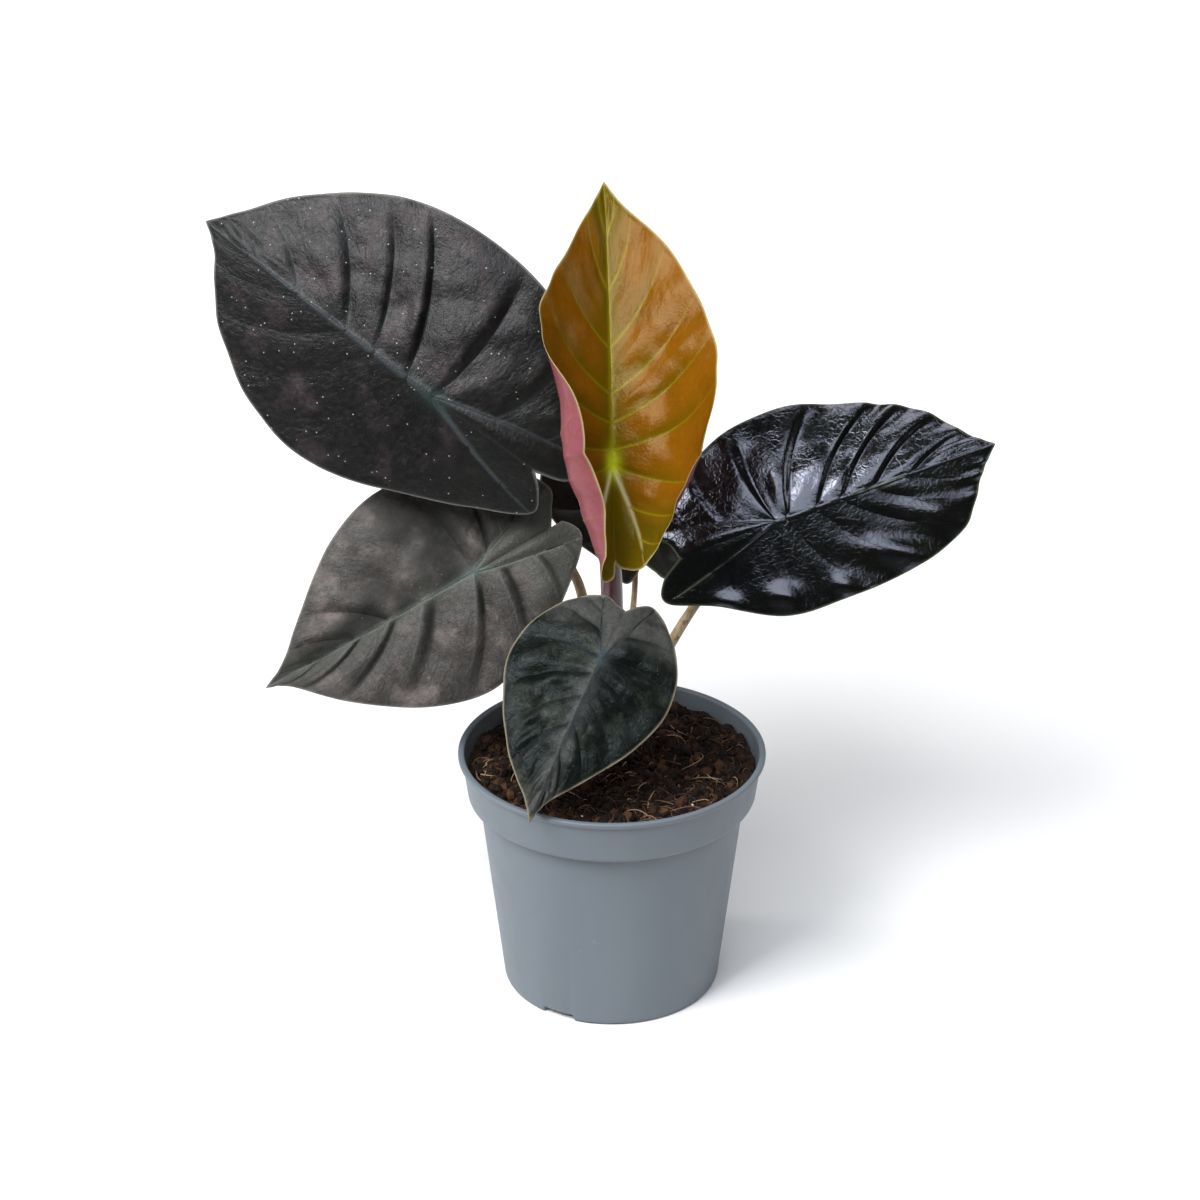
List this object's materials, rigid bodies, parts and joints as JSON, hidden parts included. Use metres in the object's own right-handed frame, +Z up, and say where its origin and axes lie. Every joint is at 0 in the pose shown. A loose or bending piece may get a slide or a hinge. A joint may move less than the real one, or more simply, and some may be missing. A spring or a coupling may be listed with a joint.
{
  "type": "potted aroid plant",
  "caption": "Small potted alocasia with heart-shaped, quilted dark leaves and a golden new leaf on slim stems, in a tapered round nursery pot filled with potting mix.",
  "frame": {"origin": "on the floor, on the pot's axis, under the middle of its base", "axes": "+Z up along the pot's axis, -Y the front that the picture shows, +X to the right seen from the front"},
  "size_m": [0.3002, 0.165, 0.3128],
  "materials": {
    "pot_plastic": "matte grey-blue moulded plastic",
    "potting_mix": "moist peat with coir fibres",
    "satin_black_leaf": "satin, quilted between the veins",
    "golden_leaf": "glossy and translucent, with yellow-green veins",
    "glossy_black_leaf": "high gloss, strongly quilted",
    "grey_brown_leaf": "satin, soft broad folds",
    "grey_green_leaf": "satin with a pale margin",
    "tan_stem": "smooth tan petiole",
    "burgundy_stem": "smooth dark burgundy petiole and sheath"
  },
  "bodies": {
    "root": {"pot": "pot_plastic", "potting_mix": "potting_mix", "leaf_upper_left": "satin_black_leaf", "stem_upper_left": "tan_stem", "leaf_centre": "golden_leaf", "stem_centre": "burgundy_stem", "leaf_right": "glossy_black_leaf", "stem_right": "tan_stem", "leaf_lower_left": "grey_brown_leaf", "stem_lower_left": "tan_stem", "leaf_front": "grey_green_leaf", "stem_front": "tan_stem", "leaf_back": "satin_black_leaf", "stem_back": "tan_stem"}
  },
  "joints": []
}
